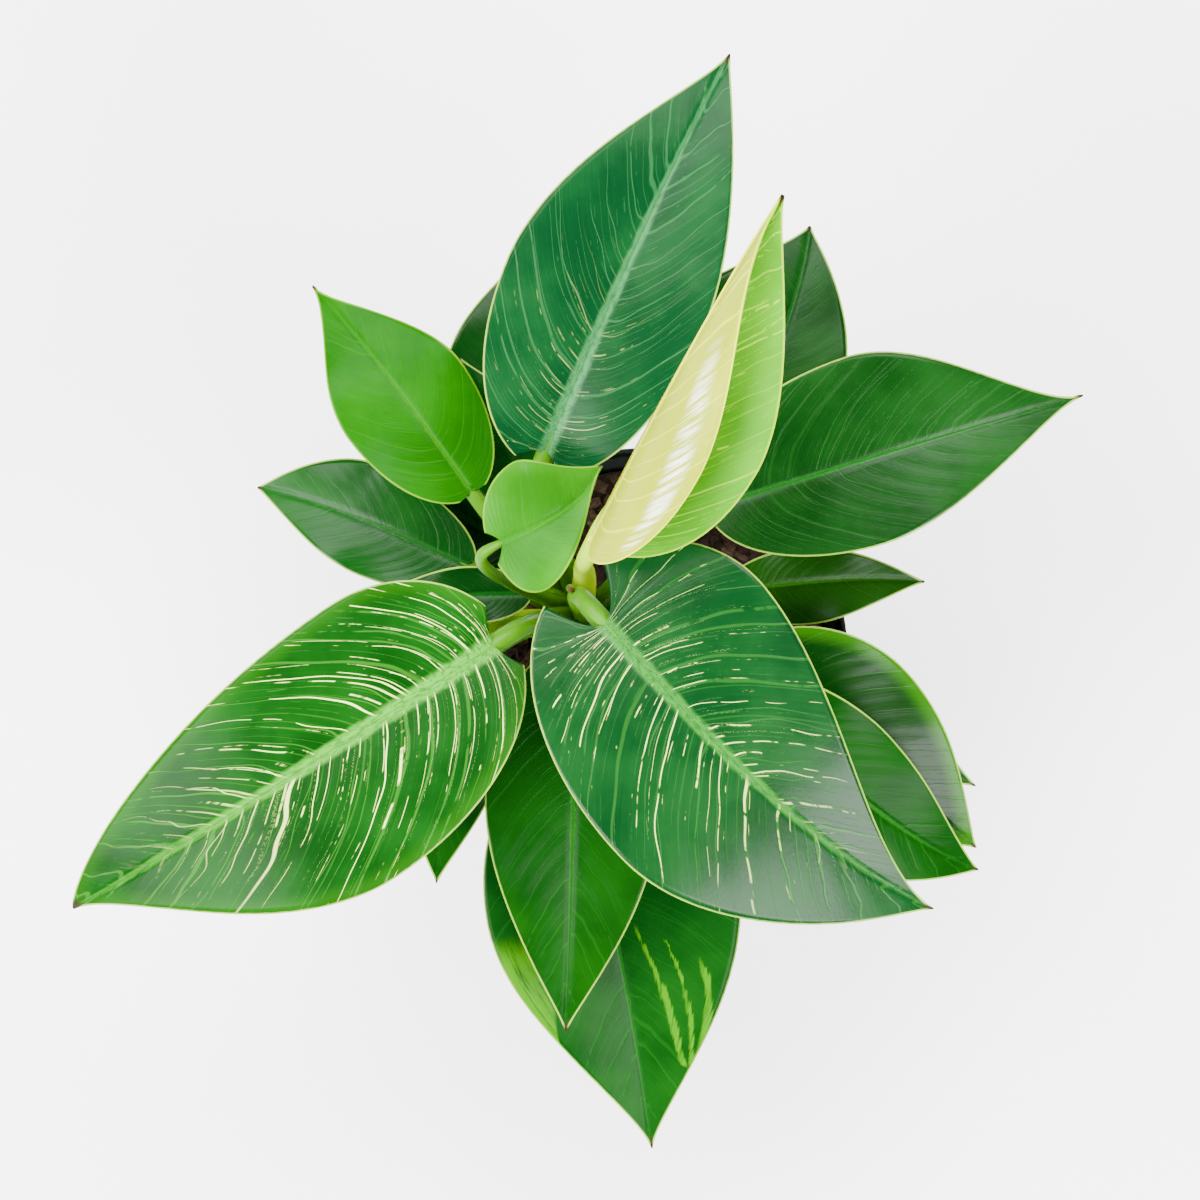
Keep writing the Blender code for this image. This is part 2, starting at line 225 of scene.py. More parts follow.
def geometry_tree(name, inputs):
    """An empty tree with a Geometry input and output and further named inputs."""
    tree = bpy.data.node_groups.new(name, "GeometryNodeTree")
    tree.interface.new_socket("Geometry", in_out="INPUT", socket_type="NodeSocketGeometry")
    for label, kind, value in inputs:
        socket = tree.interface.new_socket(label, in_out="INPUT", socket_type=f"NodeSocket{kind}")
        if value is not None:
            socket.default_value = value
    tree.interface.new_socket("Geometry", in_out="OUTPUT", socket_type="NodeSocketGeometry")
    entry = tree.nodes.new("NodeGroupInput")
    start = Term(tree)
    terms = {socket.name: Term(tree, socket) for socket in entry.outputs if socket.name}
    return tree, start, terms


def finish_tree(tree, last):
    out = tree.nodes.new("NodeGroupOutput")
    tree.links.new(last.socket, out.inputs[0])


def scene_object(name, data):
    made = bpy.data.objects.new(name, data)
    bpy.context.scene.collection.objects.link(made)
    return made


def run_tree(obj, tree, **values):
    """The object put through the tree."""
    modifier = obj.modifiers.new(tree.name, "NODES")
    modifier.node_group = tree
    for socket in tree.interface.items_tree:
        label = socket.name.replace(" ", "_").lower()
        if socket.in_out == "INPUT" and label in values:
            modifier[socket.identifier] = values[label]
    return obj


def plain_mesh(obj, name):
    """What the modifiers make of an object, as a new object with a plain mesh."""
    bpy.context.view_layer.update()
    graph = bpy.context.evaluated_depsgraph_get()
    mesh = bpy.data.meshes.new_from_object(obj.evaluated_get(graph), depsgraph=graph)
    bpy.data.objects.remove(obj)
    mesh.name = name
    return scene_object(name, mesh)


def add_piece(obj, slot, *nodes):
    """The object rides on the pot's body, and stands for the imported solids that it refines."""
    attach(obj, "root")
    if nodes:
        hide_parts(*nodes)
    return obj


# %% [markdown]
# ## The leaves as a table
# Every blade of this plant has one form: a heart-shaped base, a broad middle and a drawn-out tip,
# bent along its midrib. What differs is size, place, pitch and finish, so each leaf is one row of
# a table. The rows are the plant's real sizes in metres and degrees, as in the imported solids.

# %% Leaf table


@dataclass
class Leaf:
    """One leaf. A heading is counted from +X towards +Y."""

    name: str
    look: str
    joint: tuple  # where the petiole meets the blade
    heading: float
    length: float
    left: float  # greatest half width
    right: float
    rise: float = 8.0  # pitch at the joint
    fall: float = -20.0  # pitch at the tip
    hook: float = 0.0  # turn of the heading on the way to the tip
    lobe: float = 0.10  # how far the lobes reach back, as a share of the length
    widest: tuple = (0.38, 0.38)
    sharp_tip: tuple = (1.2, 1.2)
    fold: float = 9.0  # each half rises from the midrib by this angle
    curl: tuple = (-8.0, -8.0)  # and turns by this much on to its margin
    roll: float = 0.0
    wave: float = 0.0012
    ripples: float = 2.0
    foot: float = 0.112  # height at which the petiole leaves the stem
    petiole: float = 0.0023
    sheath: float = 0.0036
    stand: float = 0.55  # how steeply the petiole starts


LEAVES = (
    Leaf("pinstripe_right", "pinstriped", (-0.0110, 0.0100, 0.200), -48, 0.127, 0.0390, 0.0402, 6, -28, 22,
         lobe=0.13, widest=(0.25, 0.46), sharp_tip=(1.55, 1.30), foot=0.123, petiole=0.0030, stand=0.9),
    Leaf("pinstripe_left", "pinstriped_bold", (-0.0420, 0.0040, 0.184), -147, 0.148, 0.0394, 0.0339, 10, -30,
         -3, lobe=0.04, widest=(0.42, 0.24), sharp_tip=(1.60, 0.80), foot=0.121, petiole=0.0031,
         sheath=0.0042, stand=0.75),
    Leaf("top", "pale_ribbed", (-0.0275, 0.0580, 0.180), 66, 0.123, 0.0308, 0.0267, 24, -14, -3,
         lobe=0.05, widest=(0.41, 0.42), sharp_tip=(1.40, 1.10), foot=0.118, petiole=0.0027),
    Leaf("youngest_folded", "youngest", (-0.0140, 0.0325, 0.205), 63, 0.112, 0.0255, 0.0300, 42, 10, -6,
         lobe=0.02, widest=(0.40, 0.42), sharp_tip=(1.20, 1.20), fold=46, curl=(92, 10), roll=46, wave=0.0,
         foot=0.124, petiole=0.0025, sheath=0.0040, stand=0.6),
    Leaf("right", "dark", (0.0195, 0.0430, 0.170), 17, 0.111, 0.0291, 0.0243, 16, -18, -1,
         lobe=0.02, widest=(0.45, 0.40), sharp_tip=(1.80, 1.50), foot=0.116),
    Leaf("upper_left", "bright", (-0.0490, 0.0475, 0.160), 125, 0.077, 0.0200, 0.0191, 10, -22, 9,
         lobe=0.02, widest=(0.44, 0.42), sharp_tip=(1.55, 1.70), wave=0.0022, foot=0.113),
    Leaf("mid_left", "deep", (-0.0510, 0.0265, 0.138), 155, 0.069, 0.0157, 0.0167, 4, -22, 14,
         lobe=0.03, widest=(0.44, 0.55), sharp_tip=(1.10, 1.20), foot=0.106),
    Leaf("small_heart", "fresh", (-0.0395, 0.0325, 0.188), 23, 0.036, 0.0188, 0.0172, 14, -10, 45,
         lobe=0.10, widest=(0.44, 0.24), sharp_tip=(1.05, 2.50), fold=16, curl=(-14, -14), wave=0.0008,
         foot=0.120, petiole=0.0017, sheath=0.0028, stand=0.8),
    Leaf("lower_front", "middle", (-0.0195, -0.0065, 0.152), -91, 0.107, 0.0258, 0.0255, 0, -22, -2,
         foot=0.113, stand=0.8),
    Leaf("lime_patched", "lime_patched", (-0.0175, -0.0360, 0.126), -78, 0.120, 0.0395, 0.0370, -4, -20, -5,
         sharp_tip=(1.40, 1.40), foot=0.104, stand=0.35),
    Leaf("lower_left", "middle", (-0.0490, 0.0000, 0.138), -103, 0.076, 0.0150, 0.0150, -8, -34, 8,
         lobe=0.08, foot=0.110, petiole=0.0036, sheath=0.0050, stand=0.5),
    Leaf("right_small", "olive", (0.0295, 0.0200, 0.142), 6, 0.055, 0.0102, 0.0124, 2, -20, -12,
         foot=0.109, petiole=0.0019),
    Leaf("lower_right_outer", "lime_edged", (0.0335, -0.0050, 0.150), -38, 0.087, 0.0277, 0.0220, 0, -28, -1,
         foot=0.111),
    Leaf("lower_right_inner", "middle", (0.0335, -0.0145, 0.165), -43, 0.086, 0.0192, 0.0240, 0, -34, 21,
         foot=0.115),
    Leaf("lower_right_hidden", "dark", (0.0310, 0.0010, 0.124), -31, 0.084, 0.0150, 0.0150, -2, -22, 3,
         lobe=0.08, foot=0.103, petiole=0.0019),
    Leaf("behind_top_right", "dark", (0.0268, 0.0628, 0.150), 65, 0.066, 0.0340, 0.0219, 14, -10, 18,
         lobe=0.06, foot=0.108),
    Leaf("behind_top_left", "dark", (-0.0410, 0.0630, 0.134), 88, 0.054, 0.0180, 0.0170, 8, -14, -6,
         lobe=0.06, foot=0.105, petiole=0.0019),
    Leaf("inner_low", "dark", (-0.0370, 0.0310, 0.122), 147, 0.044, 0.0140, 0.0130, 4, -10, 0,
         lobe=0.06, foot=0.103, petiole=0.0018, stand=0.35),
    Leaf("inner_mid", "deep", (-0.0310, 0.0450, 0.146), 118, 0.048, 0.0140, 0.0120, 8, -12, 0,
         lobe=0.06, foot=0.108, petiole=0.0018, stand=0.6),
    Leaf("inner_left", "dark", (-0.0335, 0.0185, 0.145), 182, 0.047, 0.0085, 0.0085, 8, -22, -2,
         lobe=0.03, foot=0.115, petiole=0.0018, stand=0.55),
)
print("leaves:", len(LEAVES), "longest, mm:", round(1000 * max(leaf.length for leaf in LEAVES)))

# %% [markdown]
# ## The form of a blade
# A blade is a sheet that follows two rules: an outline, and a bend. The outline is a quarter
# ellipse out of the lobe and a taper into the tip. Its rows are the side veins themselves: they
# crowd at the joint, leave the midrib at about half a right angle and sweep towards the tip, so a
# stripe drawn along a row is a vein. The sheet is then laid on the bent midrib. Each point also keeps what the finish needs:
# how far along and across it is, and its true distance in millimetres from midrib and margin.

# %% Midrib and outline
TIP_SHARE = 0.998
NOTCH_SHARE = 0.012
TAPER_POWER = 1.8
BASE_VEIN_ANGLE = 104.0
TIP_VEIN_ANGLE = 30.0
RIB_CROWDING = 2.0  # veins leave the midrib closer together near the joint


def half_width(share, widest, sharp_tip):
    """0 at both ends and 1 at the widest place."""
    to_widest = np.clip(1 - share / widest, 0, 1)
    past_widest = np.clip((share - widest) / (1 - widest), 0, 1)
    return np.sqrt(1 - to_widest**2) * (1 - past_widest**TAPER_POWER) ** sharp_tip


def midrib(leaf):
    """Arc lengths, places, left directions and upward normals along the midrib, lobes to tip."""
    count = 161
    arc = np.linspace(-leaf.lobe * leaf.length, leaf.length, count)
    share = np.clip(arc / leaf.length, 0, 1)
    pitch = np.radians(leaf.rise + (leaf.fall - leaf.rise) * share)
    heading = np.radians(leaf.heading + leaf.hook * share**2)
    level = np.cos(pitch)
    forward = np.stack([level * np.cos(heading), level * np.sin(heading), np.sin(pitch)], -1)
    step = arc[1] - arc[0]
    place = np.concatenate([np.zeros((1, 3)), np.cumsum((forward[1:] + forward[:-1]) / 2 * step, axis=0)])
    at_joint = [np.interp(0, arc, place[:, axis]) for axis in range(3)]
    place = place - at_joint + np.array(leaf.joint)
    left = np.stack([-np.sin(heading), np.cos(heading), np.zeros(count)], -1)
    return arc, place, left, np.cross(forward, left)


def flat_blade(leaf, along, across):
    """The blade laid flat: distance along the midrib, distance to the side, and the margin's own."""
    on_left = across < 0
    widest = np.where(on_left, *leaf.widest)
    sharp = np.where(on_left, *leaf.sharp_tip)
    reach = np.where(on_left, leaf.left, leaf.right)
    back = leaf.lobe * leaf.length
    share = NOTCH_SHARE + (TIP_SHARE - NOTCH_SHARE) * along**0.9
    margin_x = -back + (leaf.length + back) * share
    margin_y = reach * half_width(share, widest, sharp)
    rib_x = leaf.length * TIP_SHARE * along**RIB_CROWDING
    angle = np.radians(BASE_VEIN_ANGLE + (TIP_VEIN_ANGLE - BASE_VEIN_ANGLE) * along)
    bend_x = rib_x + 0.5 * margin_y / np.tan(angle)
    bend_x = np.minimum(bend_x, rib_x + 0.6 * (np.abs(margin_x - rib_x) + 0.3 * margin_y))
    t = np.abs(across)
    x = (1 - t) ** 2 * rib_x + 2 * t * (1 - t) * bend_x + t**2 * margin_x
    y = t * (1 - t) * margin_y + t**2 * margin_y
    return x, y, reach


def bent_blade(leaf, x, y, reach, on_left):
    """Flat points laid on the bent midrib, with the fold, the curl and the ripples of the margin."""
    arc, place, left, normal = midrib(leaf)
    here, side, up = (
        np.stack([np.interp(x, arc, table[:, axis]) for axis in range(3)], -1)
        for table in (place, left, normal)
    )
    out = y / reach
    turn = np.radians(np.where(on_left, *leaf.curl)) * out
    slope = np.radians(leaf.fold) + turn / 2
    chord = y * np.sinc(turn / 2 / np.pi)
    offset = np.where(on_left, 1.0, -1.0) * chord * np.cos(slope)
    lift = chord * np.sin(slope)
    phase = np.where(on_left, 0.0, 2.0)
    lift += leaf.wave * out**2 * np.sin(math.tau * leaf.ripples * x / leaf.length + phase)
    roll = math.radians(leaf.roll)
    offset, lift = (offset * math.cos(roll) - lift * math.sin(roll),
                    offset * math.sin(roll) + lift * math.cos(roll))
    return here + side * offset[..., None] + up * lift[..., None]


# %% [markdown]
# ## Veins in relief
# Held against the light, a blade is not flat between its veins: each side vein lies in a shallow
# furrow and the tissue swells between two of them. This catches the light in bands. A geometry
# tree does it, because it follows a rule along the surface: it reads how far along each point is,
# finds the nearest vein and moves the point along its normal.

# %% Vein relief tree
LARGE_BLADE = 0.070
VEINS = 17


def make_relief_tree():
    tree, start, given = geometry_tree("vein relief", [
        ("Veins", "Float", VEINS),
        ("Furrow depth", "Float", 0.00006),
        ("Rib furrow", "Float", 0.0003),
    ])

    def named(name):
        return start.node("GeometryNodeInputNamedAttribute", {"data_type": "FLOAT"}, {"Name": name})

    along, across, rib_mm = named("along"), named("across"), named("rib_mm")
    from_vein = abs((along * given["Veins"]).math("FRACT") - 0.5)
    furrow = 1 - from_vein.ramp(0.0, 0.38)
    off_rib = abs(across).ramp(0.02, 0.2)
    off_margin = 1 - abs(across).ramp(0.72, 1.0)
    down = furrow * off_rib * off_margin * given["Furrow depth"]
    down = down + (1 - rib_mm.ramp(0.0, 1.6)) * given["Rib furrow"]
    normal = start.node("GeometryNodeInputNormal")
    offset = normal.node("ShaderNodeVectorMath", {"operation": "SCALE"}, {0: normal, "Scale": 0 - down})
    moved = start.node("GeometryNodeSetPosition", inputs={"Geometry": given["Geometry"], "Offset": offset})
    finish_tree(tree, moved)
    return tree


relief_tree = make_relief_tree()

# %% [markdown]
# ## Making the blades
# A flat grid is moved on to the surface, given its stored numbers, put through the relief tree
# and thickened downwards. The midrib stands proud underneath, as on the real leaf, so the
# thickness is larger there: a vertex group carries it. The underside takes the second material.

# %% Blade maker
BLADE_THICKNESS = 0.0005
RIB_THICKNESS = 0.0022


def make_blade(leaf, upper, under):
    rows, columns = (110, 44) if leaf.length > LARGE_BLADE else (66, 28)
    bm = bmesh.new()
    bmesh.ops.create_grid(bm, x_segments=rows, y_segments=columns, size=1.0)
    grid = np.array([vertex.co[:2] for vertex in bm.verts])
    along, across = ((grid[:, 0] + 1) / 2) ** 1.35, grid[:, 1]
    x, y, reach = flat_blade(leaf, along, across)
    on_left = across < 0
    for vertex, point in zip(bm.verts, bent_blade(leaf, x, y, reach, on_left)):
        vertex.co = point
    bmesh.ops.recalc_face_normals(bm, faces=bm.faces)
    upward = sum(face.normal.z for face in bm.faces)
    if upward < 0:
        bmesh.ops.reverse_faces(bm, faces=bm.faces)
    mesh = bpy.data.meshes.new(leaf.name)
    bm.to_mesh(mesh)
    bm.free()

    sweep = np.linspace(0, 1, 500)
    to_margin = np.full(len(x), np.inf)
    for side in (-1.0, 1.0):
        edge_x, edge_y, _ = flat_blade(leaf, sweep, np.full(len(sweep), side))
        same = on_left == (side < 0)
        gap = np.hypot(x[same, None] - edge_x[None], y[same, None] - edge_y[None]).min(axis=1)
        to_margin[same] = gap
    for name, values in (("along", along), ("across", across), ("rib_mm", 1000 * y),
                         ("edge_mm", 1000 * to_margin), ("side", on_left.astype(float)),
                         ("reach", np.clip(x / leaf.length, 0, 1))):
        mesh.attributes.new(name, "FLOAT", "POINT").data.foreach_set("value", values.astype(np.float32))

    mesh.materials.append(upper)
    mesh.materials.append(under)
    draft = scene_object("draft", mesh)
    ridge = np.clip(1 - 1000 * y / (1.9 - 1.4 * x / leaf.length), 0, 1) ** 1.5 * np.clip(1 - x / leaf.length, 0, 1)
    thin = BLADE_THICKNESS / RIB_THICKNESS
    group = draft.vertex_groups.new(name="thickness")
    for index, share in enumerate(ridge):
        group.add([index], float(thin + (1 - thin) * share), "REPLACE")
    run_tree(draft, relief_tree)
    solidify = draft.modifiers.new("thickness", "SOLIDIFY")
    solidify.thickness = RIB_THICKNESS
    solidify.offset = -1.0
    solidify.vertex_group = "thickness"
    solidify.material_offset = 1
    made = plain_mesh(draft, f"blade_{leaf.name}")
    made.data.shade_smooth()
    return made


# %% [markdown]
# ## Blade finishes
# A birkin's cream lines are not printed evenly: they follow the side veins, start bright at the
# midrib, break into dashes and fade towards the margin, and there are far more of them near the
# base. So a line is drawn in three steps. The way along the leaf is cut into cells, one for each
# vein; each cell gets its own random width; and noise along the vein breaks the line.
# One function makes all the finishes, because they differ only in colours and amounts. Colours
# are reflectances, the share of red, green and blue light sent back. Living leaves are dark:
# green ones return only a few hundredths, which is what keeps them deep under studio light.

# %% Vein lines


def vein_lines(along, across, side, count, half_line, fill, seed):
    """A mask of thin lines along the side veins. fill from 0 to 1 is how unbroken they are."""
    wobble = (noise(vector(along * 9, abs(across) * 2, side * 7 + seed), 1.0, 1.0) - 0.5) * 0.8
    place = along * count + wobble
    cell = place.math("FLOOR")
    one = chance(vector(cell, side * 31 + seed, seed))
    two = chance(vector(cell, side * 17 + seed, seed + 9.0))
    from_line = abs(place.math("FRACT") - 0.5 + (two - 0.5) * 0.6)
    width = half_line * (one * one * 1.3 + 0.35) * (1.2 - abs(across) * 0.6)
    line = 1 - (from_line / width).ramp(0.5, 1.1)
    pieces = noise(vector(abs(across) * 5, cell * 3.7 + side * 11, seed), 1.3, 3.0, 0.6)
    broken = (pieces + (two - 0.5) * 0.35 + 0.09 - abs(across) * 0.26).ramp(0.94 - fill, 1.02 - fill)
    return line * broken


# %% Blade material
CREAM = (0.62, 0.78, 0.20)
LIME = (0.032, 0.19, 0.0005)
LIME_STREAK = (0.036, 0.165, 0.0)
TIP_BROWN = (0.020, 0.008, 0.006)


# of each streak: its place, how it bends, its half width and where it starts
LIME_STREAKS = ((0.69, 0.5, 0.055, 0.38), (0.48, 0.8, 0.032, 0.42), (0.27, 1.6, 0.050, 0.49))
STREAKS_MEET = 0.78  # share of the blade's length
WEDGE_END = 0.665


def lime_patches(outward, side, reach, seed):
    """Streaks on one half that run together at one point of the margin, and a brushed wedge on the other."""
    inward = 1 - outward
    grain = noise(vector(inward * 30, reach * 6, side * 3 + seed), 1.0, 4.0, 0.65)
    brushed = grain.ramp(0.34, 0.54)
    to_meeting = ((STREAKS_MEET - reach) / 0.26).math("MAXIMUM", 0.0)
    broadening = reach.ramp(0.42, 0.70, 0.22, 1.0)
    streaks = reach * 0
    for place, bend, half, begins in LIME_STREAKS:
        off = abs(inward + (grain - 0.5) * 0.14 - to_meeting**bend * place)
        streak = (1 - (off / (broadening * half)).ramp(0.5, 1.2)) * reach.ramp(begins, begins + 0.04)
        streaks = streaks.math("MAXIMUM", streak)
    streaks = streaks * (1 - reach.ramp(STREAKS_MEET - 0.012, STREAKS_MEET)) * (brushed * 0.7 + 0.3)
    taper = ((WEDGE_END - reach) * 2.2).math("MAXIMUM", 0.001)
    wedge = (1 - (inward / taper).ramp(0.80, 1.10)) * reach.ramp(0.34, 0.42)
    wedge = wedge * (brushed * 0.8 + (1 - inward.ramp(0.0, 0.16)) * 0.5).math("MINIMUM", 1.0)
    return side.mix_value(wedge, streaks)


def blade_material(name, deep, light, rib, margin, rib_width=1.0, rib_fade=0.8, lines=0.0, veil=0.25,
                   edge_glow=0.0, patches=False, roughness=0.27, gloss=0.05, seed=1.0, cream=CREAM, cream_reach=0.75):
    material, shader, start = new_surface(f"{name} upper side", roughness, Specular_IOR_Level=gloss)
    along, across, side = (attribute(start, key) for key in ("along", "across", "side"))
    rib_mm, edge_mm, reach = (attribute(start, key) for key in ("rib_mm", "edge_mm", "reach"))
    place = object_place(start)

    mottle = noise(place, 48.0, 4.0).ramp(0.30, 0.72)
    streak = noise(vector(along * 150, abs(across) * 3, side * 5 + seed), 1.0, 3.0)
    colour = (mottle * 0.65 + streak * 0.35).mix(deep, light)
    soft_veins = vein_lines(along, across, side, VEINS, 0.07, 0.75, 3.0)
    thread_veins = vein_lines(along, across, side, VEINS * 3.1, 0.09, 0.55, 5.0)
    threads = soft_veins.math("MAXIMUM", thread_veins * 0.6)
    colour = (threads * veil).mix(colour, rib)
    if edge_glow:
        colour = ((1 - edge_mm.ramp(0.6, 6.0)) * edge_glow).mix(colour, LIME)
    if patches:
        colour = lime_patches(rib_mm / (rib_mm + edge_mm + 0.001), side, reach, seed).mix(colour, LIME_STREAK)

    if lines:
        near = 1 - reach.ramp(cream_reach - 0.3, cream_reach + 0.25)
        bold = vein_lines(along, across, side, VEINS, 0.028 + 0.022 * lines, 0.42 + 0.18 * lines, seed)
        fine = vein_lines(along, across, side, VEINS * 2.3, 0.048 + 0.020 * lines, 0.33 + 0.12 * lines, seed + 2.0)
        drawn = bold.math("MAXIMUM", fine * 0.8) * near
        colour = (drawn * min(1.0, 0.35 + lines)).mix(colour, cream)

    width = rib_width * (1.25 - reach)
    ragged = (noise(vector(along * 34, rib_mm * 0.3, side + seed), 1.0, 2.0) - 0.5) * rib_width * 0.6
    rib_mask = (1 - ((rib_mm + ragged) / width).ramp(0.40, 1.25)) * (1 - reach.ramp(0.25, 1.0) * rib_fade)
    fleck = noise(vector(along * 60, rib_mm * 0.9, side * 4 + seed), 1.0, 4.0).ramp(0.44, 0.66)
    rib_shade = (fleck * (0.6 if lines else 0.25)).mix(rib, light)
    colour = rib_mask.mix(colour, rib_shade)
    centre_line = 1 - (rib_mm / 0.22).ramp(0.5, 1.0)
    colour = (centre_line * 0.3).mix(colour, deep)

    edge_line = 1 - edge_mm.ramp(0.26, 0.62)
    colour = edge_line.mix(colour, margin)
    colour = along.ramp(0.975, 0.995).mix(colour, TIP_BROWN)
    feed(shader, "Base Color", colour)

    feed(shader, "Roughness", (mottle * 0.07 + streak * 0.07) + (roughness - 0.07))
    height = streak * 0.4 + noise(place, 900.0, 2.0) * 0.3 - threads * 0.6
    bump(shader, height, 0.00010, 0.6)
    return material


def under_material(name, colour, vein, roughness=0.5, painted_glare=0.0):
    """The underside is paler and duller. Its veins are light threads, and the optional glare is a painted highlight:
    streaky near-white on the outer flanks.
    """
    material, shader, start = new_surface(f"{name} underside", roughness, Specular_IOR_Level=0.05)
    along, across, side = (attribute(start, key) for key in ("along", "across", "side"))
    rib_mm, edge_mm = attribute(start, "rib_mm"), attribute(start, "edge_mm")
    mottle = noise(object_place(start), 60.0, 3.0).ramp(0.3, 0.7)
    shade = (mottle * 0.5).mix(colour, tuple(0.75 * value for value in colour))
    threads = vein_lines(along, across, side, VEINS, 0.08, 0.80, 4.0)
    shade = (threads * 0.5).mix(shade, vein)
    # Painted highlight: a streaky near-white glare on the outer flanks, where the lights would be reflected.
    if painted_glare:
        streaks = noise(vector(along * 60, abs(across) * 2, 3.0), 1.0, 4.0, 0.65).ramp(0.40, 0.58)
        band = abs(across).ramp(0.64, 0.76) * (1 - abs(across).ramp(0.80, 0.90))
        glare_mask = streaks * band * along.ramp(0.10, 0.22) * (1 - along.ramp(0.55, 0.75))
        shade = (glare_mask * painted_glare).mix(shade, (0.92, 0.92, 0.80))
    shade = (1 - rib_mm.ramp(0.8, 1.7)).mix(shade, vein)
    shade = (1 - edge_mm.ramp(0.2, 0.5)).mix(shade, vein)
    feed(shader, "Base Color", shade)
    bump(shader, threads, 0.00012, 0.6)
    return material


# %% The finishes of this plant
MARGIN = (0.20, 0.33, 0.040)
PALE_RIB = (0.022, 0.150, 0.013)
LOOKS = {
    "pinstriped": blade_material(
        "pinstriped", (0.0006, 0.017, 0.0026), (0.0026, 0.042, 0.0060), PALE_RIB, MARGIN,
        rib_width=2.1, lines=0.42, gloss=0.12, seed=4.0, cream_reach=0.60),
    "pinstriped_bold": blade_material(
        "bold pinstriped", (0.0005, 0.018, 0.0008), (0.0026, 0.052, 0.0030), (0.055, 0.26, 0.016), MARGIN,
        rib_width=2.6, rib_fade=0.7, lines=0.85, edge_glow=0.15, gloss=0.045, seed=9.0, cream_reach=0.62),
    "pale_ribbed": blade_material(
        "pale ribbed", (0.0010, 0.020, 0.0048), (0.0034, 0.048, 0.0100), (0.026, 0.150, 0.042), MARGIN,
        rib_width=2.0, rib_fade=0.55, lines=0.03, gloss=0.06, seed=2.0, cream_reach=0.30, veil=0.32),
    "dark": blade_material(
        "dark", (0.0007, 0.016, 0.0010), (0.0034, 0.040, 0.0032), (0.006, 0.070, 0.006), MARGIN,
        gloss=0.075, seed=6.0),
    "deep": blade_material(
        "deep glossy", (0.0010, 0.028, 0.0018), (0.0040, 0.056, 0.0040), (0.008, 0.065, 0.008), MARGIN,
        roughness=0.23, gloss=0.08, seed=7.0),
    "middle": blade_material(
        "middle green", (0.0004, 0.022, 0.0004), (0.0020, 0.046, 0.0010), (0.008, 0.085, 0.005), MARGIN,
        gloss=0.03, seed=3.0),
    "olive": blade_material(
        "olive green", (0.0022, 0.023, 0.0003), (0.0048, 0.040, 0.0006), (0.014, 0.075, 0.003), MARGIN,
        rib_width=0.7, seed=5.0),
    "lime_edged": blade_material(
        "lime edged", (0.0006, 0.013, 0.0006), (0.0020, 0.026, 0.0010), (0.007, 0.060, 0.003), MARGIN,
        edge_glow=0.40, roughness=0.23, gloss=0.08, seed=8.0),
    "lime_patched": blade_material(
        "lime patched", (0.0008, 0.024, 0.0014), (0.0032, 0.050, 0.0030), (0.008, 0.085, 0.006), MARGIN,
        patches=True, gloss=0.03, seed=11.0),
    "bright": blade_material(
        "bright green", (0.0020, 0.050, 0.0000), (0.0065, 0.092, 0.0000), (0.016, 0.12, 0.001),
        (0.09, 0.22, 0.003), rib_width=0.8, gloss=0.03, seed=12.0),
    "fresh": blade_material(
        "fresh green", (0.0070, 0.078, 0.0000), (0.0160, 0.135, 0.0000), (0.013, 0.120, 0.0002),
        (0.10, 0.25, 0.002), rib_width=0.6, edge_glow=0.3, seed=13.0),
    "youngest": blade_material(
        "youngest leaf", (0.030, 0.17, 0.0000), (0.075, 0.29, 0.0000), (0.24, 0.52, 0.0000),
        (0.26, 0.42, 0.0), lines=0.5, veil=0.6, gloss=0.02, seed=14.0, cream=(0.26, 0.50, 0.002), cream_reach=1.2),
}
UNDER = under_material("leaf", (0.006, 0.050, 0.006), (0.022, 0.100, 0.012))
# The youngest leaf's underside carries the painted white glare.
UNDER_YOUNG = under_material("youngest leaf", (0.31, 0.37, 0.0000), (0.64, 0.66, 0.01), 0.27, painted_glare=0.75)
print("blade finishes:", len(LOOKS))

# %% Make every blade
RECORD_SLOT = {"pinstriped": "leaf_pinstriped", "pinstriped_bold": "leaf_pinstriped", "bright": "leaf_bright",
               "fresh": "leaf_bright", "youngest": "leaf_youngest"}
for leaf in LEAVES:
    under = UNDER_YOUNG if leaf.look == "youngest" else UNDER
    blade = make_blade(leaf, LOOKS[leaf.look], under)
    add_piece(blade, RECORD_SLOT.get(leaf.look, "leaf_dark"), f"leaf_{leaf.name}")

# %% [markdown]
# ## Petioles and stem
# A petiole is a stalk that starts as a broad open sheath round the stem, climbs, narrows and bends
# into the midrib. That is a path with a changing radius and one profile: round, with a shallow
# channel on its upper side. A geometry tree sweeps the profile along each path, and stores how
# far along each point is, so that the finish can change from sheath to blade.

# %% Petiole tree


